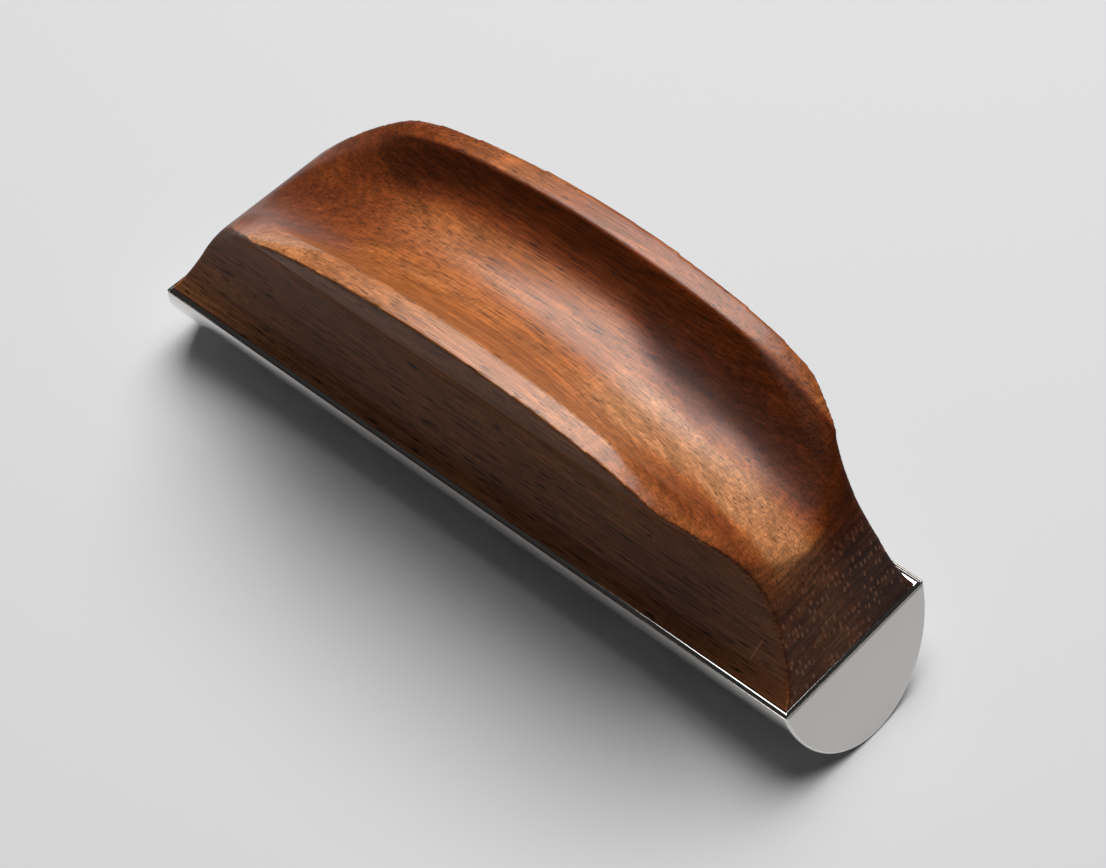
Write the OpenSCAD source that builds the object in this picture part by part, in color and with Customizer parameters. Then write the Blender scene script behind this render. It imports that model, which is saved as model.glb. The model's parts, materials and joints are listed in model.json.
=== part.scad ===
// Guitar steel: a round-nosed stainless bar with a carved hardwood grip bonded on its flat back.
// +X runs along the bar, +Y across it and +Z up. The origin lies on the floor, under the middle of
// the bar, on the lowest line of its rounded playing surface. Heights on the grip are measured
// from its seat, which is the flat back of the bar with the glue film on it.

/* [Steel bar] */
// Diameter of the round stock that the bar is milled from
bar_d = 22; // [18:0.1:27]
// Height of the flat back above the lowest line of the playing surface
bar_depth = 10.1; // [8.4:0.05:12.2]
// Length of the flat back, measured to the sharp corners before they are rounded
flat_l = 82.8; // [68:0.5:105]
// Lean of the left end face from upright, longer at the foot
left_lean = 12; // [4:0.5:26]
// Lean of the right end face from upright, longer at the foot
right_lean = 22.5; // [4:0.5:30]
// Radius of the rounded edges all round the flat back
edge_r = 0.9; // [0.3:0.05:1.5]

/* [Grip sides] */
// Bare strip of the flat back between its rounded edges and the foot of the grip, all round
foot_strip = 0.14; // [0.02:0.02:1]
// Width of the grip at its narrow waist
waist_w = 15.2; // [12:0.1:15.6]
// Height of the waist above the seat
waist_h = 9.3; // [7.7:0.1:11.2]
// Radius of the hollow above the waist
waist_r = 9.2; // [5:0.1:10]
// Width of the grip at the crease where each hollow side ends
crease_w = 23.5; // [20:0.1:28]
// Height of the strip between the crease and the rim at the middle
rim_strip = 4.5; // [3:0.1:6]
// Width of the grip across its rims
crown_w = 24.8; // [21:0.1:30]

/* [Grip arch] */
// Height of the rims above the seat at the middle
crown_h = 22.65; // [18.8:0.05:27.2]
// Radius of the long arch of the rims
crown_r = 93; // [75:1:140]
// Lean of the left end of the grip from upright at its foot
left_slope = 16.5; // [8:0.5:24]
// Lean of the right end of the grip from upright at its foot
right_slope = 16; // [8:0.5:24]
// Radius of the left shoulder, between the end and the arch
left_shoulder_r = 26.5; // [18:0.5:30]
// Radius of the right shoulder, between the end and the arch
right_shoulder_r = 29; // [18:0.5:32]

/* [Finger trough] */
// Depth of the trough under the rims at the middle
trough_depth = 4.5; // [3:0.1:6]
// Radius of the trough across the bar
trough_r = 12.1; // [9:0.1:14]
// Depth of the wide flare under the rims at the middle, where the trough takes it all away
flare_depth = 0.65; // [0.3:0.05:1.2]
// Radius of the flare across the bar
flare_r = 30; // [20:1:50]
// Height above the seat at which the trough and its flare run out over the ends
run_out_h = 10.9; // [9:0.1:12.5]

/* [Bond and pins] */
// Thickness of the glue film
film_t = 0.15; // [0.05:0.05:0.4]
// Margin by which the glue film stays inside the foot of the grip
film_margin = 0.1; // [0:0.05:0.5]
// Diameter of the two hidden locating pins
pin_d = 4; // [3:0.1:6]
// Length of each pin
pin_l = 12; // [8:0.5:14.5]
// Part of each pin that stands in the bar
pin_in_bar = 5; // [3:0.5:6]
// Distance between the two pins
pin_spacing = 48; // [30:1:54]
// Clearance all round each pin, filled by glue
pin_fit = 0.05; // [0.02:0.01:0.15]
// Space left at the blind end of each pin hole
blind_gap = 0.5; // [0.2:0.1:1]

/* [Hidden] */
$fn = 144;

steel = [0.74, 0.75, 0.76];
pin_steel = [0.55, 0.56, 0.58];
hardwood = [0.46, 0.22, 0.1];
dried_glue = [0.2, 0.11, 0.06];

bar_r = bar_d / 2;
bar_l = flat_l + bar_depth * (tan(left_lean) + tan(right_lean));
flat_x = bar_depth * (tan(left_lean) - tan(right_lean)) / 2;
seat_z = bar_depth + film_t;
pin_z = bar_depth - pin_in_bar;
reach = 2 * bar_l;
hollow_steps = 10;
shoulder_steps = 14;
crown_steps = 20;

// Half the width of the flat back, between its rounded edges
flat_half = sqrt(pow(bar_r - edge_r, 2) - pow(bar_depth - edge_r - bar_r, 2));
foot_half_w = flat_half - foot_strip;
left_foot = foot_end(left_lean);
right_foot = foot_end(right_lean);

// The hollow above the waist is never rounder than lets it end at the crease
crease_h = crown_h - rim_strip;
crease_out = (crease_w - waist_w) / 2;
crease_up = crease_h - waist_h;
hollow_r = min(waist_r, (pow(crease_out, 2) + pow(crease_up, 2)) / (2 * crease_out));

crown_centre = [0, crown_h - crown_r];

// How far from the middle the trough runs out, at the end where it meets the outline first
run_out_x = min(
    end_x(left_foot, left_slope, left_shoulder_r, run_out_h),
    end_x(right_foot, right_slope, right_shoulder_r, run_out_h)
);

function length(v) = sqrt(v * v);
function unit(v) = v / length(v);
function at_angle(a) = [cos(a), sin(a)];
function bearing(v) = (atan2(v[1], v[0]) + 360) % 360;
function reverse(points) = [for (i = [len(points) - 1:-1:0]) points[i]];

// How far the rounding of a leaning end takes back the edge of the flat back
function setback(lean) = edge_r / tan(45 + lean / 2);

// Distance from the middle of the flat back to the foot of the grip at one end
function foot_end(lean) = flat_l / 2 - setback(lean) - foot_strip;

// Radius of an arch that drops by the given height at a distance from its top
function arch_radius(distance, drop) = (pow(distance, 2) + pow(drop, 2)) / (2 * drop);

// Point where a line from p touches a circle on its left-hand side as seen from the centre
function touch(p, centre, r) = centre + r * at_angle(bearing(p - centre) + acos(r / length(p - centre)));

// Points in equal steps round a circle, from one point on it to another
function arc(centre, r, from, to, steps) =
    let (a = bearing(from - centre), b = bearing(to - centre))
    [for (i = [0:steps]) centre + r * at_angle(a + (b - a) * i / steps)];

// Side view of one end of the grip: directions up its end line and square to it into the wood,
// and the centre of the shoulder that touches both the end line and the crown circle
function up_end(slope) = [-sin(slope), cos(slope)];
function into_grip(slope) = [-cos(slope), -sin(slope)];
function shoulder_centre(foot, slope, r) =
    let (start = [foot, 0] + r * into_grip(slope), q = start - crown_centre, along = up_end(slope))
    start + along * (sqrt(pow(q * along, 2) - q * q + pow(crown_r - r, 2)) - q * along);

// Distance from the middle to the end outline of the grip at a height on its shoulder
function end_x(foot, slope, r, h) =
    let (shoulder = shoulder_centre(foot, slope, r))
    shoulder[0] + sqrt(pow(r, 2) - pow(h - shoulder[1], 2));

// Lays a drawing of the cross-section, Y to the right and Z up, along the bar
module along_bar(l) {
    translate([-l / 2, 0, 0]) rotate([90, 0, 90]) linear_extrude(l) children();
}

// Lays a drawing of the side view, X to the right and Z up, across the bar
module across_bar(w) {
    rotate([90, 0, 0]) linear_extrude(w, center = true) children();
}

// D-shaped section of the bar: barrel, rounded edges and flat back
module bar_section() {
    edge = [flat_half, bar_depth - edge_r];
    tangent = [0, bar_r] + bar_r * unit(edge - [0, bar_r]);
    intersection() {
        translate([0, bar_r]) circle(bar_r);
        translate([-bar_r, 0]) square([2 * bar_r, tangent[1]]);
    }
    polygon([
        [-tangent[0], tangent[1]], tangent, edge, [flat_half, bar_depth],
        [-flat_half, bar_depth], [-edge[0], edge[1]]
    ]);
    for (side = [-1, 1]) translate([side * edge[0], edge[1]]) circle(edge_r);
}

// Half of the bar's side view, from the middle of the flat back to one leaning end
module bar_half_side(lean) {
    corner = [flat_l / 2, bar_depth];
    centre = corner - [setback(lean), edge_r];
    on_end = corner + setback(lean) * [sin(lean), -cos(lean)];
    foot = corner + bar_depth * [tan(lean), -1];
    polygon([[0, 0], foot, on_end, centre, [centre[0], bar_depth], [0, bar_depth]]);
    translate(centre) circle(edge_r);
}

module bar_side() {
    translate([flat_x, 0]) {
        bar_half_side(right_lean);
        mirror([1, 0]) bar_half_side(left_lean);
    }
}

// What is cut from one side of the grip: a slow hollow up to the waist, a rounder one above it that
// runs out straight to the crease, and the strip from there to the rim
module side_hollow() {
    waist = [waist_w / 2, waist_h];
    foot = [foot_half_w, 0];
    crease = [crease_w / 2, crease_h];
    rim = [crown_w / 2, crown_h];
    low_r = arch_radius(waist_h, foot_half_w - waist[0]);
    low_centre = waist + [low_r, 0];
    high_centre = waist + [hollow_r, 0];
    low_side = arc(low_centre, low_r, foot, waist, hollow_steps);
    high_side = arc(high_centre, hollow_r, waist, touch(crease, high_centre, hollow_r), hollow_steps);
    outside = crown_w;
    polygon(concat(low_side, high_side, [crease, rim, [outside, crown_h], [outside, -1], [foot[0], -1]]));
}

module grip_section() {
    difference() {
        translate([-crown_w / 2, 0]) square([crown_w, crown_h]);
        side_hollow();
        mirror([1, 0]) side_hollow();
    }
}

// Outline of one end of the grip from its foot to the arch: leaning line, then shoulder
function end_outline(foot, slope, r) =
    let (shoulder = shoulder_centre(foot, slope, r))
    let (on_end = shoulder - r * into_grip(slope))
    let (on_arch = crown_centre + crown_r * unit(shoulder - crown_centre))
    concat([[foot, 0]], arc(shoulder, r, on_end, on_arch, shoulder_steps));

module grip_side() {
    right = end_outline(right_foot, right_slope, right_shoulder_r);
    left = [for (p = reverse(end_outline(left_foot, left_slope, left_shoulder_r))) [-p[0], p[1]]];
    crown = arc(crown_centre, crown_r, right[len(right) - 1], left[0], crown_steps);
    inner_crown = [for (i = [1:crown_steps - 1]) crown[i]];
    polygon(concat(right, inner_crown, left));
}

// Ring round an axis across the bar. Its inner edge hollows the top of the grip to the given depth
// at the middle, along an arch that comes out of the ends at the run-out height
module scoop(depth, r) {
    top = crown_h - depth;
    arch_r = arch_radius(run_out_x, top - run_out_h);
    translate([0, 0, top - arch_r]) rotate([90, 0, 0])
        rotate_extrude() translate([arch_r + r, 0]) circle(r);
}

// Both pins, or both holes for them, with clearance all round and at each end
module pin_pair(clearance, end_gap) {
    for (side = [-1, 1]) pin(side, clearance, end_gap);
}

module pin(side, clearance, end_gap) {
    translate([flat_x + side * pin_spacing / 2, 0, pin_z - end_gap])
        cylinder(h = pin_l + 2 * end_gap, d = pin_d + 2 * clearance);
}

module steel_bar() {
    color(steel) difference() {
        intersection() {
            along_bar(reach) bar_section();
            across_bar(reach) bar_side();
        }
        pin_pair(pin_fit, blind_gap);
    }
}

module wood_grip() {
    color(hardwood) difference() {
        translate([flat_x, 0, seat_z]) difference() {
            intersection() {
                along_bar(reach) grip_section();
                across_bar(reach) grip_side();
            }
            scoop(trough_depth, trough_r);
            scoop(flare_depth, flare_r);
        }
        pin_pair(pin_fit, blind_gap);
    }
}

module glue_film() {
    left = left_foot - film_margin;
    half_w = foot_half_w - film_margin;
    size = [left + right_foot - film_margin, 2 * half_w, film_t];
    color(dried_glue) difference() {
        translate([flat_x - left, -half_w, bar_depth]) cube(size);
        pin_pair(pin_fit, blind_gap);
    }
}

module left_pin() {
    color(pin_steel) pin(-1, 0, 0);
}

module right_pin() {
    color(pin_steel) pin(1, 0, 0);
}

steel_bar();
wood_grip();
glue_film();
left_pin();
right_pin();
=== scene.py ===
# %% [markdown]
# A guitar steel with a carved hardwood grip. A player holds the wooden grip between thumb and
# middle finger, lays the index finger in the trough on top, and slides the rounded steel along
# the strings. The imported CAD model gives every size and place. It is loaded first, as a fixed
# frame, and each new piece is built around it in metres, so that nothing has to be fitted later.

import json
import math

import bmesh
import bpy
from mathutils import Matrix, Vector

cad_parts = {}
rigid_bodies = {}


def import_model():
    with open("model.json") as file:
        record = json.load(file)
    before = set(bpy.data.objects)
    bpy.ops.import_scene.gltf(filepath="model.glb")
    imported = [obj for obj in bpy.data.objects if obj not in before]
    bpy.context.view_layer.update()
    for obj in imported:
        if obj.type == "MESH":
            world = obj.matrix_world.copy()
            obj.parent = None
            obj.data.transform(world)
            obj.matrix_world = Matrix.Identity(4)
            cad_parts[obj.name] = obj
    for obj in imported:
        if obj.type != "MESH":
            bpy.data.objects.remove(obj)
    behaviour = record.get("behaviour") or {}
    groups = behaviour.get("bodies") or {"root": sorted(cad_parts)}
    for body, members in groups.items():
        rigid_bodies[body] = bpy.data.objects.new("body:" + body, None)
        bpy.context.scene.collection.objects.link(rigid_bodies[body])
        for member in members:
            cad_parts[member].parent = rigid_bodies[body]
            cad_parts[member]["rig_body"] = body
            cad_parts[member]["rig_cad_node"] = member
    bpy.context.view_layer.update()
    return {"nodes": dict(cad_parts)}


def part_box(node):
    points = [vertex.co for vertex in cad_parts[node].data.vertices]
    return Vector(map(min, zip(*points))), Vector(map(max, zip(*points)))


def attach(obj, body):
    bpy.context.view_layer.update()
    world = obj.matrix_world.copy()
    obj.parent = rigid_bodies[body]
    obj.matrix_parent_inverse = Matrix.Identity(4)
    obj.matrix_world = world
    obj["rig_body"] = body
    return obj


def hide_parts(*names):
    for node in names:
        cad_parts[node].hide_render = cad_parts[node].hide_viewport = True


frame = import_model()
MM = 0.001

# %% [markdown]
# A few driving sizes describe the whole bar: the radius of the round stock, how far each end face
# leans and how round the polished edges of the flat back are. Everything else is read from the
# frame. The two hidden pins stand at equal distances from the middle of the flat back.

# %% Sizes that the pieces share
BAR_R = 11 * MM
LEFT_LEAN = math.radians(10.5)
RIGHT_LEAN = math.radians(21.4)
EDGE_R = 0.7 * MM

bar_low, bar_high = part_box("steel_bar")
grip_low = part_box("wood_grip")[0]
pins = [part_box("left_pin"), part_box("right_pin")]
flat_z = bar_high.z
seat_z = grip_low.z
flat_x = sum(corner.x for pin in pins for corner in pin) / 4
flat_middle = Vector((flat_x, 0, flat_z))
left_corner = Vector((bar_low.x + flat_z * math.tan(LEFT_LEAN), 0, flat_z))
right_corner = Vector((bar_high.x - flat_z * math.tan(RIGHT_LEAN), 0, flat_z))
print(f"flat back in mm, x: {left_corner.x / MM:.2f} to {right_corner.x / MM:.2f}")
print(f"flat back in mm, z: {flat_z / MM:.2f}")

# %% [markdown]
# An operator acts on everything that is selected, so each step below first selects exactly what
# it needs. Three helpers do that. One makes a single object active. The next opens its mesh in
# edit mode, with only the vertices, edges or faces selected that pass a test on their place or
# direction. The last goes back to object mode.


# %% Helpers for selecting
def focus(obj):
    bpy.ops.object.select_all(action="DESELECT")
    obj.select_set(True)
    bpy.context.view_layer.objects.active = obj


def open_mesh(obj, kind, test):
    focus(obj)
    bpy.ops.object.mode_set(mode="EDIT")
    bpy.ops.mesh.select_mode(type=kind)
    bpy.ops.mesh.select_all(action="DESELECT")
    shape = bmesh.from_edit_mesh(obj.data)
    elements = {"VERT": shape.verts, "EDGE": shape.edges, "FACE": shape.faces}[kind]
    found = [e for e in elements if test(e)]
    for e in found:
        e.select_set(True)
    bmesh.update_edit_mesh(obj.data)
    return len(found)


def close_mesh():
    bpy.ops.object.mode_set(mode="OBJECT")


focus(frame["nodes"]["steel_bar"])
print("active object:", bpy.context.active_object.name)

# %% [markdown]
# The bar starts as round stock. A cylinder primitive could be scaled and cut with booleans, but
# a bisect is what a mill does: it takes off everything on one side of a plane and fills the cut.
# Three cuts make the flat back and the two leaning ends.

# %% Mill the bar from round stock
STOCK_SPARE = 1.2

bpy.ops.object.select_all(action="DESELECT")
bpy.ops.mesh.primitive_cylinder_add(
    vertices=192,
    radius=BAR_R,
    depth=STOCK_SPARE * (bar_high.x - bar_low.x),
    location=(0, 0, BAR_R),
    rotation=(0, math.pi / 2, 0),
)
bar = bpy.context.active_object
bar.name = "milled_bar"
bpy.ops.object.transform_apply(location=True, rotation=True, scale=True)
right_face = Vector((math.cos(RIGHT_LEAN), 0, math.sin(RIGHT_LEAN)))
left_face = Vector((-math.cos(LEFT_LEAN), 0, math.sin(LEFT_LEAN)))
cuts = [(flat_middle, Vector((0, 0, 1))), (right_corner, right_face), (left_corner, left_face)]
for place, outward in cuts:
    open_mesh(bar, "FACE", lambda f: True)
    bpy.ops.mesh.bisect(plane_co=place, plane_no=outward, use_fill=True, clear_outer=True)
    close_mesh()
print("bar after milling:", len(bar.data.polygons), "faces")

# %% [markdown]
# Steel this well finished has no sharp edge. The same width on every edge would give each one a
# different radius, because a round of radius r starts r / tan(angle / 2) away from an edge where
# two faces meet at that angle. So every edge of the flat back gets its own width, and all its
# rounds come out alike. The lower edges are only broken lightly, as by a pass with fine paper.

# %% Work out the width of each round
BROKEN_EDGE = 0.3 * MM

side_angle = math.pi / 2 - math.asin((BAR_R - flat_z) / BAR_R)
widths = {
    "long": EDGE_R / math.tan(side_angle / 2),
    "left": EDGE_R / math.tan((math.pi / 2 + LEFT_LEAN) / 2),
    "right": EDGE_R / math.tan((math.pi / 2 + RIGHT_LEAN) / 2),
    "low": BROKEN_EDGE,
}
print("widths in mm:", {kind: round(width / MM, 2) for kind, width in widths.items()})

# %% [markdown]
# The bevel operator could round one group of edges after another, but where two rounds meet, the
# second would cut into the first. The Bevel modifier rounds all of them at once, each by its
# bevel weight, so the corners come out clean. Each edge is told by its height and its direction.

# %% Round the edges of the bar
SHARP_FROM = math.radians(20)
HAIR = 0.01 * MM


def bar_edge_kind(edge):
    a, b = (v.co for v in edge.verts)
    if len(edge.link_faces) != 2 or edge.calc_face_angle(0) < SHARP_FROM:
        return None
    if min(a.z, b.z) > flat_z - HAIR:
        if abs(a.x - b.x) > BAR_R:
            return "long"
        return "right" if a.x > 0 else "left"
    return "low"


def apply_modifier(obj, kind, **settings):
    focus(obj)
    bpy.ops.object.modifier_add(type=kind)
    modifier = obj.modifiers[-1]
    for name, value in settings.items():
        setattr(modifier, name, value)
    bpy.ops.object.modifier_apply(modifier=modifier.name)


widest = max(widths.values())
for kind, width in widths.items():
    count = open_mesh(bar, "EDGE", lambda e: bar_edge_kind(e) == kind)
    bpy.ops.transform.edge_bevelweight(value=width / widest)
    close_mesh()
    print("edges marked", kind + ":", count)
apply_modifier(
    bar, "BEVEL", width=widest, segments=6, limit_method="WEIGHT", use_clamp_overlap=False
)
print("bar with its rounds:", len(bar.data.polygons), "faces")

# %% [markdown]
# Two pins lock the grip to the bar. Their holes are blind and never seen, but the mesh is also a
# result in its own right, so the bar is really drilled: a cylinder is set at each pin and
# subtracted with a Boolean modifier, then thrown away.

# %% Drill the blind pin holes
PIN_FIT = 0.05 * MM
BLIND_GAP = 0.5 * MM
BIT_SPARE = 2 * MM


def drill(obj, low, high):
    bottom = low.z - BLIND_GAP
    height = flat_z + BIT_SPARE - bottom
    bpy.ops.object.select_all(action="DESELECT")
    bpy.ops.mesh.primitive_cylinder_add(
        vertices=48,
        radius=(high.x - low.x) / 2 + PIN_FIT,
        depth=height,
        location=((low.x + high.x) / 2, 0, bottom + height / 2),
    )
    bit = bpy.context.active_object
    apply_modifier(obj, "BOOLEAN", operation="DIFFERENCE", object=bit, solver="EXACT")
    bpy.data.objects.remove(bit)


for low, high in pins:
    drill(bar, low, high)
print("bar with its holes:", len(bar.data.polygons), "faces")

# %% [markdown]
# The barrel has to look round and the flats flat. More faces would never quite do it, and plain
# smooth shading would make the flats look swollen. So only shallow angles are shaded smooth, and
# weighted normals let the large faces decide. Then the bar is tied to the frame: it rides on the
# one body, and it takes the place of the CAD bar, which is hidden.

# %% Shade the bar and tie it to the frame
SMOOTH_BELOW = math.radians(25)

focus(bar)
bpy.ops.object.shade_smooth_by_angle(angle=SMOOTH_BELOW)
apply_modifier(bar, "WEIGHTED_NORMAL", keep_sharp=True, weight=100)
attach(bar, "root")
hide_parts("steel_bar")
print("bar size in mm:", [round(v / MM, 2) for v in bar.dimensions])

# %% [markdown]
# The grip is carved: a band saw gives its arch, a spindle its hollow sides and finger trough, and
# then sandpaper softens every meeting line. The CAD solid has the carved faces but razor-sharp
# lines between them. Bevels would need clean edges, which a triangulated CAD mesh lacks, so its
# copy is merged and rebuilt with the Remesh modifier as an even skin. Its Sharp mode keeps the
# carved lines straight, where the Voxel mode would leave small teeth along them.

# %% Copy the carved blank and give it an even skin
focus(frame["nodes"]["wood_grip"])
bpy.ops.object.duplicate()
grip = bpy.context.active_object
grip.name = "sanded_grip"
bpy.ops.object.parent_clear(type="CLEAR_KEEP_TRANSFORM")
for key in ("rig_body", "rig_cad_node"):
    del grip[key]
grip.data.materials.clear()
open_mesh(grip, "VERT", lambda v: True)
bpy.ops.mesh.remove_doubles(threshold=0.001 * MM)
close_mesh()
apply_modifier(
    grip,
    "REMESH",
    mode="SHARP",
    octree_depth=9,
    scale=0.9,
    sharpness=1.0,
    use_remove_disconnected=False,
)
print("grip skin:", len(grip.data.polygons), "faces")

# %% [markdown]
# The foot of the grip spreads a little at both ends and on the near side, so that it covers the
# flat back to its edges there and overhangs them by a hair. A move in edit mode would need a
# selection for every height, so each point is moved in code: it goes outwards by a share that
# fades with its height above the seat.

# %% Spread the foot
END_OVERHANG = 0.15 * MM
SIDE_OVERHANG = 0.22 * MM
SPREAD_END_H = 4.5 * MM
SPREAD_SIDE_H = 2.0 * MM
SPREAD_CURVE = 1.4
FOOT_LAYER = 0.05 * MM

foot = [v.co for v in grip.data.vertices if v.co.z < seat_z + FOOT_LAYER]
foot_left, foot_right = min(p.x for p in foot), max(p.x for p in foot)
foot_half_w = max(p.y for p in foot)
seat_left = left_corner.x + widths["left"] - END_OVERHANG
seat_right = right_corner.x - widths["right"] + END_OVERHANG
edge_half_w = math.sqrt((BAR_R - EDGE_R) ** 2 - (flat_z - EDGE_R - BAR_R) ** 2)
wider = (edge_half_w + SIDE_OVERHANG) / foot_half_w - 1
for vertex in grip.data.vertices:
    height = vertex.co.z - seat_z
    end_share = max(1 - height / SPREAD_END_H, 0) ** SPREAD_CURVE
    side_share = max(1 - height / SPREAD_SIDE_H, 0) ** SPREAD_CURVE
    along = vertex.co.x - flat_x
    reach, move = (
        (foot_right - flat_x, seat_right - foot_right)
        if along > 0
        else (foot_left - flat_x, seat_left - foot_left)
    )
    vertex.co.x += move * end_share * along / reach
    if vertex.co.y < 0:
        vertex.co.y *= 1 + wider * side_share
moves = [foot_left - seat_left, seat_right - foot_right, wider * foot_half_w]
print("foot spread left, right and nearwards, in mm:", [round(v / MM, 2) for v in moves])

# %% [markdown]
# Sandpaper rounds a line more the longer it stays on it, and it stays longest where the trough
# runs out over the ends. Such places could be painted by hand as vertex groups, but not the same
# way twice. So each is a small function of the place, from 0 to 1. Two of them are the height
# above the foot and the distance to a soft ridge, which in the side view is a short line.

# %% Where the sandpaper goes: above the foot and along the ridges
FOOT_KEPT = 0.7 * MM
FOOT_FADE_START = 0.5
RIDGE_INNER = Vector((29.5 * MM, 16.0 * MM))
RIDGE_OUTER = Vector((35.2 * MM, 10.9 * MM))
RIDGE_REACH = 5.5 * MM
FAR_RIM_KEPT = 1.5 * MM


def fade(value):
    value = min(max(value, 0.0), 1.0)
    return value * value * (3 - 2 * value)


def above_foot(place):
    return fade((place.z - seat_z) / FOOT_KEPT - FOOT_FADE_START)


def near_ridge(place, side, far_limit):
    point = Vector((side * (place.x - flat_x), place.z - seat_z))
    line = RIDGE_OUTER - RIDGE_INNER
    share = (point - RIDGE_INNER).dot(line) / line.length_squared
    nearest = RIDGE_INNER.lerp(RIDGE_OUTER, min(max(share, 0.0), 1.0))
    inside = fade((far_limit - place.y) / FAR_RIM_KEPT)
    return fade(1 - (point - nearest).length / RIDGE_REACH) * inside


kept = sum(above_foot(v.co) == 0 for v in grip.data.vertices)
print("points of the foot that stay unsanded:", kept)

# %% [markdown]
# Two places at the left end are softer than the rest: the near corner of the grip, where the
# hand wears it, and the wall of the trough on the far side. A ridge would reach too far, so these
# are told by the distance to one point each.

# %% Where the sandpaper goes: two places at the left end
NEAR_CORNER = Vector((-34.2 * MM, -10.5 * MM, seat_z + 14.0 * MM))
FAR_WALL = Vector((-27 * MM, 8.0 * MM, seat_z + 17.0 * MM))
FAR_WALL_LIMIT = 9.6 * MM
POINT_REACH = 4.5 * MM
POINT_PEAK = 1.3


def near_point(place, point):
    return fade(POINT_PEAK - (place - point).length / POINT_REACH)


def on_far_wall(place):
    return near_point(place, FAR_WALL) * fade((FAR_WALL_LIMIT - place.y) / MM)


at_corner = sum(near_point(v.co, NEAR_CORNER) > 0 for v in grip.data.vertices)
at_wall = sum(on_far_wall(v.co) > 0 for v in grip.data.vertices)
print("points sanded at the corner and on the wall:", at_corner, at_wall)

# %% [markdown]
# The Smooth modifier works as sandpaper does: each pass moves a point towards its neighbours, and
# a vertex group says how much of it each point gets. Both ridges and the wall at the left get
# many passes, and the near left corner, worn down by the hand, is lowered before it is sanded.
# Everything above the foot, which stays crisp, gets a few last passes. The skin then has more
# faces than the shape needs, and the Decimate modifier thins it.

# %% Sand the meeting lines
LEFT_FAR_LIMIT = 7 * MM
RIGHT_FAR_LIMIT = 10 * MM
CORNER_WORN = 0.8 * MM
MOST_TRIANGLES = 190000


def sand(obj, name, weight, passes):
    group = obj.vertex_groups.new(name=name)
    for vertex in obj.data.vertices:
        group.add([vertex.index], weight(vertex.co), "REPLACE")
    apply_modifier(obj, "SMOOTH", factor=0.5, iterations=passes, vertex_group=name)


sand(grip, "left_ridge", lambda p: near_ridge(p, -1, LEFT_FAR_LIMIT), passes=45)
for vertex in grip.data.vertices:
    vertex.co.z -= CORNER_WORN * near_point(vertex.co, NEAR_CORNER)
sand(grip, "near_left_corner", lambda p: near_point(p, NEAR_CORNER), passes=40)
sand(grip, "far_left_wall", on_far_wall, passes=160)
sand(grip, "right_ridge", lambda p: near_ridge(p, 1, RIGHT_FAR_LIMIT), passes=110)
sand(grip, "all_but_foot", above_foot, passes=30)
apply_modifier(grip, "TRIANGULATE")
apply_modifier(grip, "DECIMATE", ratio=min(MOST_TRIANGLES / len(grip.data.polygons), 1.0))
print("grip sanded:", len(grip.data.polygons), "triangles")

# %% [markdown]
# A sanded form has no hard line left but those of the foot, and the even skin is fine enough to
# hold these too. So the whole grip is shaded smooth, and then tied to the frame like the bar.

# %% Shade the grip and tie it to the frame
focus(grip)
bpy.ops.object.shade_smooth()
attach(grip, "root")
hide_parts("wood_grip")
print("grip size in mm:", [round(v / MM, 2) for v in grip.dimensions])

# %% [markdown]
# The materials are procedural: small trees of nodes, so that no picture has to be wrapped round
# the carved shape. One helper adds a node, with its settings by name and its inputs either as
# plain values or as wires from the nodes before it. The others do a sum and start a material.


# %% Helpers for nodes
def add(tree, kind, wires=None, **settings):
    node = tree.nodes.new("ShaderNode" + kind)
    for name, value in settings.items():
        setattr(node, name, value)
    for name, value in (wires or {}).items():
        if isinstance(value, bpy.types.NodeSocket):
            tree.links.new(value, node.inputs[name])
        else:
            node.inputs[name].default_value = value
    return node


def maths(tree, operation, *values):
    wires = dict(enumerate(values))
    return add(tree, "Math", wires, operation=operation).outputs[0]


def new_material(name):
    made = bpy.data.materials.new(name)
    made.use_nodes = True
    tree = made.node_tree
    return made, tree, tree.nodes["Principled BSDF"]


wood, tree, surface = new_material("oiled_hardwood")
print("nodes of a new material:", [node.name for node in tree.nodes])

# %% [markdown]
# Wood is a solid pattern: the same growth layers show as long lines on the sides, as wide
# curved contours in the trough and as fine ruled lines across the ends. A flat pattern laid on
# each face would not meet at the edges, so this one is made in object space, in millimetres.

# %% Wood: place and direction in millimetres
coords = add(tree, "TexCoord")
wires = {0: coords.outputs["Object"], "Scale": 1 / MM}
place_mm = add(tree, "VectorMath", wires, operation="SCALE").outputs[0]
x_mm, y_mm, z_mm = add(tree, "SeparateXYZ", {0: place_mm}).outputs
facing = add(tree, "SeparateXYZ", {0: coords.outputs["Normal"]}).outputs
outward_x = maths(tree, "ABSOLUTE", facing[0])
side_of_bar = maths(tree, "SIGN", y_mm)
outward_y = maths(tree, "MAXIMUM", maths(tree, "MULTIPLY", facing[1], side_of_bar), 0.0)
squares = [maths(tree, "POWER", way, 2.0) for way in (outward_x, outward_y)]
outward = maths(tree, "SQRT", maths(tree, "ADD", *squares))
print("wood, place and direction:", len(tree.nodes), "nodes")

# %% [markdown]
# The sides and the end grain drink more oil than the top and go darker. They could be faces with
# a material of their own, but that would draw a hard line round a soft corner. So the direction
# of the surface makes masks with soft edges: a wall is steep, and it belongs to an end if it
# faces more along the bar than across it.

# %% Wood: masks for the sides and the ends
STEEP = (0.66, 0.84)
SIDEWAYS = (0.3, 0.75)
MORE_ALONG = (-0.15, 0.15)


def between(tree, value, low, high, to_low=0.0, to_high=1.0):
    wires = {"Value": value, "From Min": low, "From Max": high, "To Min": to_low, "To Max": to_high}
    return add(tree, "MapRange", wires, interpolation_type="SMOOTHSTEP").outputs[0]


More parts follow.
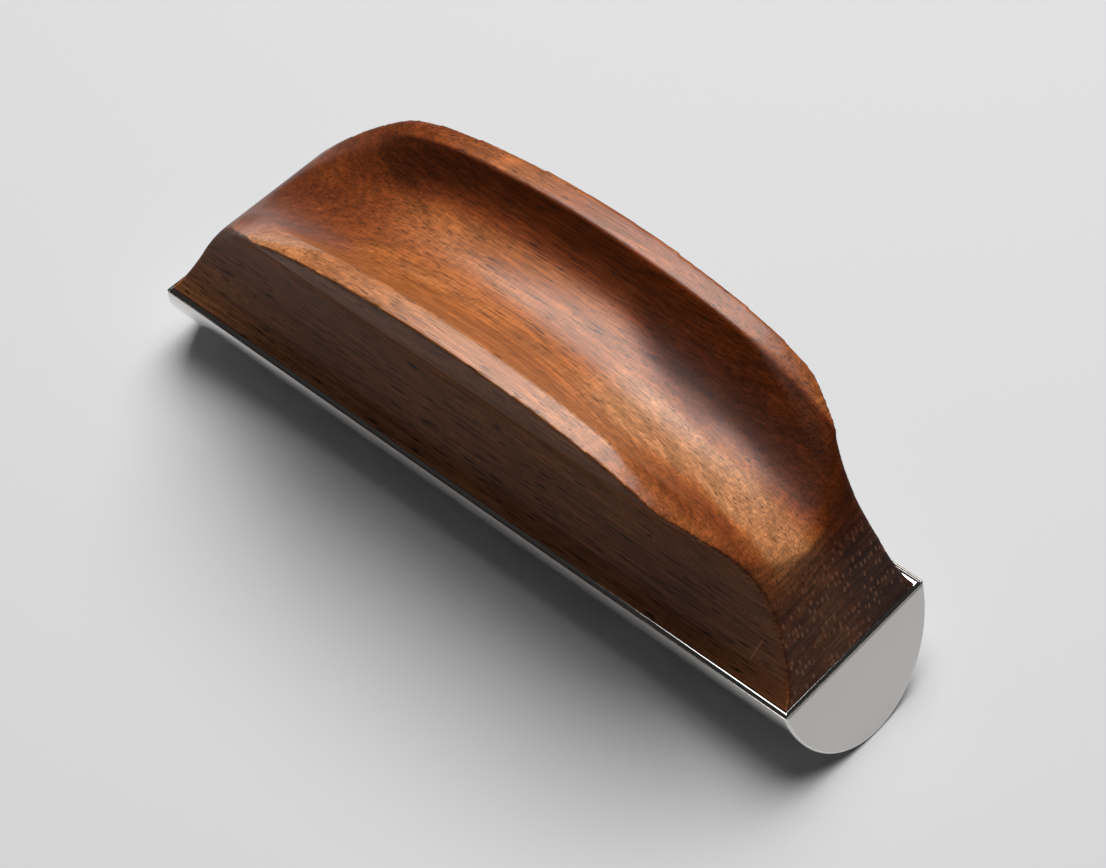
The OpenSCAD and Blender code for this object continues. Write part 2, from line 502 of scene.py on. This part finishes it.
steep = between(tree, outward, *STEEP)
outside = maths(tree, "MAXIMUM", steep, between(tree, outward_y, *SIDEWAYS))
end_share = between(tree, maths(tree, "SUBTRACT", outward_x, outward_y), *MORE_ALONG)
end_grain = maths(tree, "MULTIPLY", outside, end_share)
side_mask = maths(tree, "SUBTRACT", outside, end_grain)
print("wood, with its masks:", len(tree.nodes), "nodes")

# %% [markdown]
# A tree grows in layers of long cells. A Wave texture would be too regular for them, so each kind
# of line is a noise drawn out along the bar. The sizes are in millimetres along, across and up:
# the layers lie almost flat and bend a little, and fibres, streaks and a soft mottle lie over
# them.

# %% Wood: growth layers and fibres
BEND_MM = 3.0


def stretched_noise(tree, place, size, detail=2.0, roughness=0.5):
    scale = [1 / s for s in size]
    mapped = add(tree, "Mapping", {"Vector": place, "Scale": scale})
    wires = {"Vector": mapped.outputs[0], "Scale": 1.0, "Detail": detail, "Roughness": roughness}
    return add(tree, "TexNoise", wires).outputs[0]


bend = stretched_noise(tree, place_mm, size=(34, 20, 20), detail=1)
lift = maths(tree, "MULTIPLY", maths(tree, "SUBTRACT", bend, 0.5), BEND_MM)
wires = {0: x_mm, 1: y_mm, 2: maths(tree, "ADD", z_mm, lift)}
bent = add(tree, "CombineXYZ", wires).outputs[0]
broad = stretched_noise(tree, bent, size=(26, 5, 4), detail=3)
layers = stretched_noise(tree, bent, size=(14, 5, 0.34), detail=2)
fibres = stretched_noise(tree, place_mm, size=(5.5, 0.15, 0.17), detail=2, roughness=0.6)
streak = stretched_noise(tree, place_mm, size=(13, 0.6, 0.45), detail=3, roughness=0.65)
mottle = stretched_noise(tree, place_mm, size=(3.0, 1.8, 1.6), detail=3, roughness=0.6)
print("wood, with its noises:", len(tree.nodes), "nodes")

# %% [markdown]
# The board was cut with a dark heart streak along one rim, with a wavering edge. It could be
# modelled as a second wood, but it is the same board, so it is one more mask: a product of soft
# limits across and along the bar, in millimetres, and the broad noise makes its edge waver. The
# same mask paints shade on the far wall of the trough, which faces away from the lamp, and it
# reaches further towards the near side at the right.

# %% Wood: the dark heart and the painted shade of the far wall
WAVER_MM = 5.0
HEART_AND_SHADE_SHIFT_MM = 4.0
HEART_AND_SHADE_SHIFT_X = (4, 16)
HEART_AND_SHADE_EDGE = (3.6, 7.8)
HEART_AND_SHADE_RIM = (9.9, 9.1)
HEART_AND_SHADE_START = (-31, -22)


def product(tree, *masks):
    result = masks[0]
    for mask in masks[1:]:
        result = maths(tree, "MULTIPLY", result, mask)
    return result


waver = maths(tree, "MULTIPLY", maths(tree, "SUBTRACT", broad, 0.5), WAVER_MM)
wavy_y = maths(tree, "ADD", y_mm, waver)
shift = maths(tree, "MULTIPLY", between(tree, x_mm, *HEART_AND_SHADE_SHIFT_X), HEART_AND_SHADE_SHIFT_MM)
# Dark heart, and painted shade on the far wall of the trough.
heart_and_shade = product(
    tree,
    between(tree, maths(tree, "ADD", wavy_y, shift), *HEART_AND_SHADE_EDGE),
    between(tree, y_mm, *HEART_AND_SHADE_RIM),
    between(tree, x_mm, *HEART_AND_SHADE_START),
)
print("wood, with its heart:", len(tree.nodes), "nodes")

# %% [markdown]
# Away from the heart and the shaded far wall the wood goes from red to pale. A colour mixed in
# for each patch would soon turn muddy, so a single value, from dark to light, is built up first,
# and a colour ramp turns it into wood colours at the end. In the table each patch says how much it
# changes the value, and between which soft limits, in millimetres, it lies. Four patches are
# painted light and shade: shade on the left end of the trough, light on the near rim, and
# highlights along a streak in the trough and on the right lip.

# %% Wood: patches from dark to light
CLEAR_WOOD = 0.76
HEART_AND_SHADE_DARKER = 0.66
BROAD_CHANGE = 0.5

# The heart and the painted shade of the far wall lower the value.
zone = maths(tree, "SUBTRACT", CLEAR_WOOD, maths(tree, "MULTIPLY", heart_and_shade, HEART_AND_SHADE_DARKER))
patches = {
    # Painted shade: the left end of the trough is darkened as if it faced away from the light.
    "shaded left end": (-0.42, [(x_mm, -12, -30), (y_mm, -9, -5)]),
    "far rim": (-0.14, [(y_mm, 9.3, 9.9), (x_mm, -12, -2)]),
    # Painted light: the near rim band is lightened as if lit by the lamp.
    "near rim": (0.13, [(y_mm, -9.0, -9.8)]),
    # Painted highlight: a pale streak along the near half of the trough floor.
    "highlight streak": (0.34, [(y_mm, -7.0, -3.5), (wavy_y, 2.0, -1.0), (x_mm, 6, 16), (x_mm, 31, 26)]),
    "red pool": (-0.28, [(x_mm, 16, 24), (wavy_y, -4.0, -6.0)]),
    # Painted highlight on the lip where the trough runs out over the right end.
    "right lip": (0.08, [(x_mm, 27, 31), (y_mm, 6.0, 1.0)]),
}
for change, limits in patches.values():
    patch = product(tree, *[between(tree, *limit) for limit in limits])
    zone = maths(tree, "ADD", zone, maths(tree, "MULTIPLY", patch, change))
drift = maths(tree, "MULTIPLY", maths(tree, "SUBTRACT", broad, 0.5), BROAD_CHANGE)
zone = maths(tree, "ADD", zone, drift)
print("patches:", ", ".join(patches))

# %% [markdown]
# The ramp turns the value into wood. It runs from the almost black heart and painted shade over
# red and warm brown to pale sapwood, which also gives the painted highlights. More stops would
# allow more colours, but five are enough for one board.

# %% Wood: the colour ramp
# The darkest colour serves the heart and the painted shade of the far wall.
HEART_AND_SHADE = (0.058, 0.0115, 0.002)
DARK_WOOD = (0.15, 0.031, 0.006)
WARM_WOOD = (0.26, 0.060, 0.013)
LIGHT_WOOD = (0.44, 0.133, 0.032)
# The palest colour serves the sapwood and the painted highlights.
SAPWOOD_AND_HIGHLIGHT = (0.58, 0.245, 0.10)


def colour_ramp(tree, value, stops):
    node = add(tree, "ValToRGB", {"Fac": value})
    ramp = node.color_ramp
    while len(ramp.elements) < len(stops):
        ramp.elements.new(0.5)
    for element, (position, colour) in zip(ramp.elements, stops):
        element.position = position
        element.color = (*colour, 1)
    return node.outputs[0]


stops = [(0.05, HEART_AND_SHADE), (0.3, DARK_WOOD), (0.5, WARM_WOOD), (0.75, LIGHT_WOOD), (1.0, SAPWOOD_AND_HIGHLIGHT)]
zones = colour_ramp(tree, zone, stops)
print("wood colours on the ramp:", len(stops))

# %% [markdown]
# The oiled sides and ends keep only a little of those colours. A darker factor alone would leave
# them as red as the top, so they are mixed most of the way to one brown each. The upper far
# corner of an end, where the heart comes out and the painted shade of the far wall runs over it,
# is darker still.

# %% Wood: oiled sides and ends
SIDE_WOOD = (0.118, 0.046, 0.021)
END_WOOD = (0.046, 0.017, 0.0085)
SIDE_OIL = 0.85
END_OIL = 0.88
HEART_AND_SHADE_END_Y = (0.0, 3.0)
HEART_AND_SHADE_END_Z = (17.0, 21.0)


def blend_colours(tree, share, a, b, how="MIX"):
    wires = {"Factor": share, "A": a, "B": b}
    node = tree.nodes.new("ShaderNodeMix")
    node.data_type = "RGBA"
    node.blend_type = how
    for name, value in wires.items():
        socket = [s for s in node.inputs if s.name == name and s.enabled][0]
        if isinstance(value, bpy.types.NodeSocket):
            tree.links.new(value, socket)
        else:
            socket.default_value = value
    return [s for s in node.outputs if s.enabled][0]


sides = blend_colours(tree, SIDE_OIL, zones, (*SIDE_WOOD, 1))
# Heart and painted shade at the upper far corner of the ends.
heart_and_shade_end = product(tree, between(tree, y_mm, *HEART_AND_SHADE_END_Y), between(tree, z_mm, *HEART_AND_SHADE_END_Z))
dark_end = blend_colours(tree, heart_and_shade_end, (*END_WOOD, 1), (*HEART_AND_SHADE, 1))
ends = blend_colours(tree, END_OIL, zones, dark_end)
colour = blend_colours(tree, side_mask, zones, sides)
colour = blend_colours(tree, end_grain, colour, ends)
print("wood, with its oiled faces:", len(tree.nodes), "nodes")

# %% [markdown]
# Fibres, streaks and growth layers each make the wood a little lighter or darker. Mixing them in
# as colours would wash out the zones, so they are multiplied into one grey factor around 1, and
# that factor multiplies the colour. The growth layers rule the ends more strongly than the top,
# and a fine ripple crosses the grain where the fibres wave.

# %% Wood: light and dark fibres
NOISE_SPAN = (0.3, 0.7)
LAYER_SPAN = (0.35, 0.65)
RIPPLE_WHERE = (0.35, 0.6)
RIPPLE_DEPTH = 0.12

ruled_depth = between(tree, end_grain, 0.0, 1.0, to_low=0.1, to_high=0.3)
ruled = product(tree, between(tree, layers, *LAYER_SPAN, to_low=-1.0, to_high=1.0), ruled_depth)
ripple_noise = stretched_noise(tree, place_mm, size=(0.2, 1.5, 1.5), detail=1)
ripple_depth = maths(tree, "MULTIPLY", between(tree, broad, *RIPPLE_WHERE), RIPPLE_DEPTH)
ripple = product(
    tree, between(tree, ripple_noise, *NOISE_SPAN, to_low=-1.0, to_high=1.0), ripple_depth
)
shade = product(
    tree,
    between(tree, fibres, *NOISE_SPAN, to_low=0.74, to_high=1.26),
    between(tree, streak, *NOISE_SPAN, to_low=0.78, to_high=1.2),
    maths(tree, "ADD", ruled, 1.0),
    between(tree, mottle, *NOISE_SPAN, to_low=0.9, to_high=1.1),
    maths(tree, "ADD", ripple, 1.0),
)
tone = add(tree, "CombineColor", {0: shade, 1: shade, 2: shade}).outputs[0]
colour = blend_colours(tree, 1.0, colour, tone, "MULTIPLY")
print("wood, with its fibres:", len(tree.nodes), "nodes")

# %% [markdown]
# Pores are cut vessels: short dark dashes along the grain, deeper on the sides than on the
# polished top. As geometry they would need millions of faces, so they are the peaks of a narrow
# stretched noise.

# %% Wood: pores
PORE = (0.012, 0.006, 0.004)
PORE_PEAKS = (0.67, 0.75)

pore_noise = stretched_noise(tree, place_mm, size=(2.2, 0.17, 0.17), detail=0)
pores = between(tree, pore_noise, *PORE_PEAKS)
pore_depth = product(tree, pores, between(tree, side_mask, 0.0, 1.0, to_low=0.6, to_high=0.9))
colour = blend_colours(tree, pore_depth, colour, (*PORE, 1))
print("wood, with its pores:", len(tree.nodes), "nodes")

# %% [markdown]
# Across the ends the rays show as pale flecks in staggered columns. Dots on a grid would look
# printed, and the cells of a Voronoi texture, flattened and a little random, don't. They fade
# out towards the top.

# %% Wood: pale flecks across the ends
FLECK = (0.31, 0.135, 0.065)
FLECK_CELLS = (0.6, 1.7, 1.0)
FLECK_EDGE = (0.36, 0.22)
FLECK_FADE = (21.0, 17.0)
FLECK_SHARE = 0.45

fleck_place = add(tree, "Mapping", {"Vector": place_mm, "Scale": FLECK_CELLS}).outputs[0]
fleck_wires = {"Vector": fleck_place, "Scale": 1.0, "Randomness": 0.65}
fleck_cells = add(tree, "TexVoronoi", fleck_wires).outputs["Distance"]
flecks = product(
    tree, between(tree, fleck_cells, *FLECK_EDGE), end_grain, between(tree, z_mm, *FLECK_FADE)
)
colour = blend_colours(tree, maths(tree, "MULTIPLY", flecks, FLECK_SHARE), colour, (*FLECK, 1))
print("wood, with its flecks:", len(tree.nodes), "nodes")

# %% [markdown]
# One short scratch crosses the dark end on the near side and shows the pale wood under the oil.
# A noise can't be told where to put it, so it is drawn: the distance to a tilted line and the
# distance to its middle, both as soft masks.

# %% Wood: a scratch
SCRATCH_X = 35.0
SCRATCH_Z = 13.7
SCRATCH_TILT = 0.23
SCRATCH_WIDTH = (0.1, 0.04)
SCRATCH_HALF = (1.6, 1.2)
SCRATCH_SIDE = (0.0, -1.0)
SCRATCH_SHARE = 0.9

line = maths(tree, "SUBTRACT", x_mm, maths(tree, "MULTIPLY", z_mm, SCRATCH_TILT))
line = maths(tree, "SUBTRACT", line, SCRATCH_X - SCRATCH_TILT * SCRATCH_Z)
off_line = maths(tree, "ABSOLUTE", line)
off_middle = maths(tree, "ABSOLUTE", maths(tree, "SUBTRACT", z_mm, SCRATCH_Z))
scratch = product(
    tree,
    between(tree, off_line, *SCRATCH_WIDTH),
    between(tree, off_middle, *SCRATCH_HALF),
    between(tree, y_mm, *SCRATCH_SIDE),
)
colour = blend_colours(tree, maths(tree, "MULTIPLY", scratch, SCRATCH_SHARE), colour, (*FLECK, 1))
tree.links.new(colour, surface.inputs["Base Color"])
print("wood, with its scratch:", len(tree.nodes), "nodes")

# %% [markdown]
# Oil soaks into the sides and the end grain and leaves them dull, while the trough and the rims
# are polished by the fingers. A glossier base would lighten the dark heart and the painted shade
# of the far wall too, so the polish is a coat over the wood, and its weight follows the same
# masks. A little relief comes from the fibres, and the pores sink in.

# %% Wood: gloss and relief
HEART_AND_SHADE_POLISH = (0.9, 0.15)
LEFT_END = (-14, -30)
LEFT_END_POLISH = (1.0, 0.45)
FIBRE_SPAN = (0.25, 0.75)
WOOD_ROUGH = (0.34, 0.46)
FIBRE_RELIEF = 0.35
RELIEF_DEPTH = 0.035 * MM


def finish_piece(obj, material):
    obj.data.materials.clear()
    obj.data.materials.append(material)


surface.inputs["Specular IOR Level"].default_value = 0.1
surface.inputs["Coat Roughness"].default_value = 0.3
polish = product(
    tree,
    maths(tree, "SUBTRACT", 1.0, outside),
    between(tree, heart_and_shade, 0.0, 1.0, *HEART_AND_SHADE_POLISH),
    between(tree, x_mm, *LEFT_END, *LEFT_END_POLISH),
)
tree.links.new(polish, surface.inputs["Coat Weight"])
rough = between(tree, fibres, *FIBRE_SPAN, *WOOD_ROUGH)
tree.links.new(rough, surface.inputs["Roughness"])
relief = maths(tree, "SUBTRACT", maths(tree, "MULTIPLY", fibres, FIBRE_RELIEF), pores)
wires = {"Height": relief, "Strength": 0.3, "Distance": RELIEF_DEPTH}
tree.links.new(add(tree, "Bump", wires).outputs[0], surface.inputs["Normal"])
finish_piece(grip, wood)
print("wood, finished:", len(tree.nodes), "nodes")

# %% [markdown]
# Even polished steel has hairline scratches, all along the bar. Modelled, they would be
# thousands of grooves, so they are a very thin stretched noise. More than one steel uses it, so
# it is a node group, built once, with its own inputs and output.

# %% Hairline scratches as a node group
hairlines = bpy.data.node_groups.new("hairlines", "ShaderNodeTree")
for name, kind, way, value in (
    ("Length mm", "NodeSocketFloat", "INPUT", 8.0),
    ("Width mm", "NodeSocketFloat", "INPUT", 0.05),
    ("Height", "NodeSocketFloat", "OUTPUT", None),
):
    socket = hairlines.interface.new_socket(name, in_out=way, socket_type=kind)
    if value is not None:
        socket.default_value = value
ins = hairlines.nodes.new("NodeGroupInput").outputs
outs = hairlines.nodes.new("NodeGroupOutput").inputs
group_coords = add(hairlines, "TexCoord").outputs["Object"]
along = maths(hairlines, "DIVIDE", 1 / MM, ins["Length mm"])
across = maths(hairlines, "DIVIDE", 1 / MM, ins["Width mm"])
scale = add(hairlines, "CombineXYZ", {0: along, 1: across, 2: across}).outputs[0]
wires = {0: group_coords, 1: scale}
spread = add(hairlines, "VectorMath", wires, operation="MULTIPLY").outputs[0]
noise = add(hairlines, "TexNoise", {"Vector": spread, "Scale": 1.0, "Detail": 2.0}).outputs[0]
hairlines.links.new(noise, outs["Height"])
print("hairline group:", len(hairlines.nodes), "nodes")

# %% [markdown]
# Steel is told by its finish. The barrel that touches the strings is polished, the end faces are
# satin from fine paper, and the pins are ground rod. One recipe makes all three: a metal whose
# roughness and relief follow the hairlines. Only its numbers differ.


# %% Three steel finishes
def make_steel(name, colour, rough, length, width, depth):
    made, tree, surface = new_material(name)
    lines = tree.nodes.new("ShaderNodeGroup")
    lines.node_tree = hairlines
    lines.inputs["Length mm"].default_value = length
    lines.inputs["Width mm"].default_value = width
    height = lines.outputs["Height"]
    surface.inputs["Metallic"].default_value = 1.0
    surface.inputs["Base Color"].default_value = (*colour, 1)
    tree.links.new(between(tree, height, *NOISE_SPAN, *rough), surface.inputs["Roughness"])
    wires = {"Height": height, "Strength": 0.2, "Distance": depth}
    tree.links.new(add(tree, "Bump", wires).outputs[0], surface.inputs["Normal"])
    return made


polished = make_steel(
    "polished_steel",
    colour=(0.70, 0.69, 0.67),
    rough=(0.05, 0.08),
    length=9.0,
    width=0.06,
    depth=0.0008 * MM,
)
satin = make_steel(
    "satin_steel",
    colour=(0.64, 0.625, 0.605),
    rough=(0.30, 0.40),
    length=2.0,
    width=0.05,
    depth=0.003 * MM,
)
ground = make_steel(
    "ground_steel",
    colour=(0.50, 0.50, 0.51),
    rough=(0.28, 0.42),
    length=0.4,
    width=0.05,
    depth=0.01 * MM,
)
print("steels:", ", ".join(steel.name for steel in (polished, satin, ground)))

# %% [markdown]
# The bar carries two of them. Two objects would part the bar where it is one, so it gets two
# material slots, and the faces that point the way an end was cut go to the second.

# %% Put the steel on the bar and the pins
SAME_WAY = 0.999

finish_piece(bar, polished)
bar.data.materials.append(satin)
faces = open_mesh(
    bar, "FACE", lambda f: max(f.normal.dot(right_face), f.normal.dot(left_face)) > SAME_WAY
)
bar.active_material_index = 1
bpy.ops.object.material_slot_assign()
close_mesh()
for name in ("left_pin", "right_pin"):
    finish_piece(frame["nodes"][name], ground)
print("satin faces:", faces)

# %% [markdown]
# A thin film of glue closes the joint between steel and wood, and only its dark edge is seen. One
# flat colour would look like a drawn line, so a fine noise makes it speckled.

# %% Dried glue
GLUE_DARK = (0.012, 0.008, 0.006)
GLUE_LIGHT = (0.04, 0.026, 0.018)
SPECKLE = 0.8 * MM

glue, tree, surface = new_material("dried_glue")
coords = add(tree, "TexCoord").outputs["Object"]
speckle = stretched_noise(tree, coords, size=(SPECKLE, SPECKLE, SPECKLE), detail=2)
dried = colour_ramp(tree, speckle, [(0.35, GLUE_DARK), (0.65, GLUE_LIGHT)])
tree.links.new(dried, surface.inputs["Base Color"])
surface.inputs["Roughness"].default_value = 0.45
finish_piece(frame["nodes"]["glue_film"], glue)
print("glue:", len(tree.nodes), "nodes")

# %% [markdown]
# The stage is a plain pale sheet, far larger than the object, and it isn't part of it. A curved
# backdrop would do as well, but the view looks down and never meets a horizon.

# %% Floor
FLOOR_SIZE = 6
PAPER = (0.74, 0.74, 0.75)

bpy.ops.object.select_all(action="DESELECT")
bpy.ops.mesh.primitive_plane_add(size=FLOOR_SIZE, location=(0, 0, 0))
floor = bpy.context.active_object
floor.name = "pale_floor"
paper, tree, surface = new_material("matt_paper")
surface.inputs["Base Color"].default_value = (*PAPER, 1)
surface.inputs["Roughness"].default_value = 0.7
finish_piece(floor, paper)
print("floor size in m:", FLOOR_SIZE)

# %% [markdown]
# One large soft lamp above and a little behind models the trough and throws a short soft shadow
# towards the viewer. A sun would draw hard edges instead. The energy follows from the level that
# a white surface lying under the lamp should reach.

# %% Lamp
LAMP_TARGET = Vector((0, 0, 0.015))
LAMP_DIRECTION = Vector((-0.15, 0.29, 0.94))
LAMP_DISTANCE = 0.7
LAMP_SIZE = (0.54, 0.62)
LAMP_LEVEL = 1.15

toward = LAMP_DIRECTION.normalized()
lamp = bpy.data.lights.new("window_lamp", "AREA")
lamp.shape = "RECTANGLE"
lamp.size, lamp.size_y = LAMP_SIZE
lamp.energy = LAMP_LEVEL * math.pi**2 * LAMP_DISTANCE**2 / toward.z
lamp_object = bpy.data.objects.new("window_lamp", lamp)
lamp_object.location = LAMP_TARGET + toward * LAMP_DISTANCE
lamp_object.rotation_euler = (-toward).to_track_quat("-Z", "Y").to_euler()
bpy.context.scene.collection.objects.link(lamp_object)
print(f"lamp energy: {lamp.energy:.2f} W")

# %% [markdown]
# A bright room would fill every hollow with light. This one stays dim, so that the rounded steel
# gets its dark bands. The Standard view shows each colour about as it is written.

# %% Room and view
ROOM_LEVEL = 0.03

world = bpy.data.worlds.new("dim_room")
world.use_nodes = True
world.node_tree.nodes["Background"].inputs["Color"].default_value = (1.0, 1.0, 1.0, 1)
world.node_tree.nodes["Background"].inputs["Strength"].default_value = ROOM_LEVEL
bpy.context.scene.world = world
bpy.context.scene.view_settings.view_transform = "Standard"
print("view transform:", bpy.context.scene.view_settings.view_transform)

# %% [markdown]
# The camera looks down at the flat back of the bar from the front right, with a short telephoto
# lens, which keeps the bar from looking swollen at the near end. Turning the camera would frame
# the object too, but it would also change the perspective, so a small shift of the lens does it.

# %% Camera
AZIMUTH = math.radians(41.30)
ELEVATION = math.radians(50.08)
CAMERA_DISTANCE = 312.99 * MM
NEAREST_SEEN = 0.01

back = Vector((
    math.sin(AZIMUTH) * math.cos(ELEVATION),
    -math.cos(AZIMUTH) * math.cos(ELEVATION),
    math.sin(ELEVATION),
))
camera = bpy.data.objects.new("camera", bpy.data.cameras.new("camera"))
camera.data.lens = 100
camera.data.sensor_width = 36
camera.data.shift_x = 0.0205
camera.data.shift_y = -0.0044
camera.data.clip_start = NEAREST_SEEN
camera.location = flat_middle + back * CAMERA_DISTANCE
camera.rotation_euler = (-back).to_track_quat("-Z", "Y").to_euler()
bpy.context.scene.collection.objects.link(camera)
bpy.context.scene.camera = camera
print("camera place in mm:", [round(v / MM, 1) for v in camera.location])
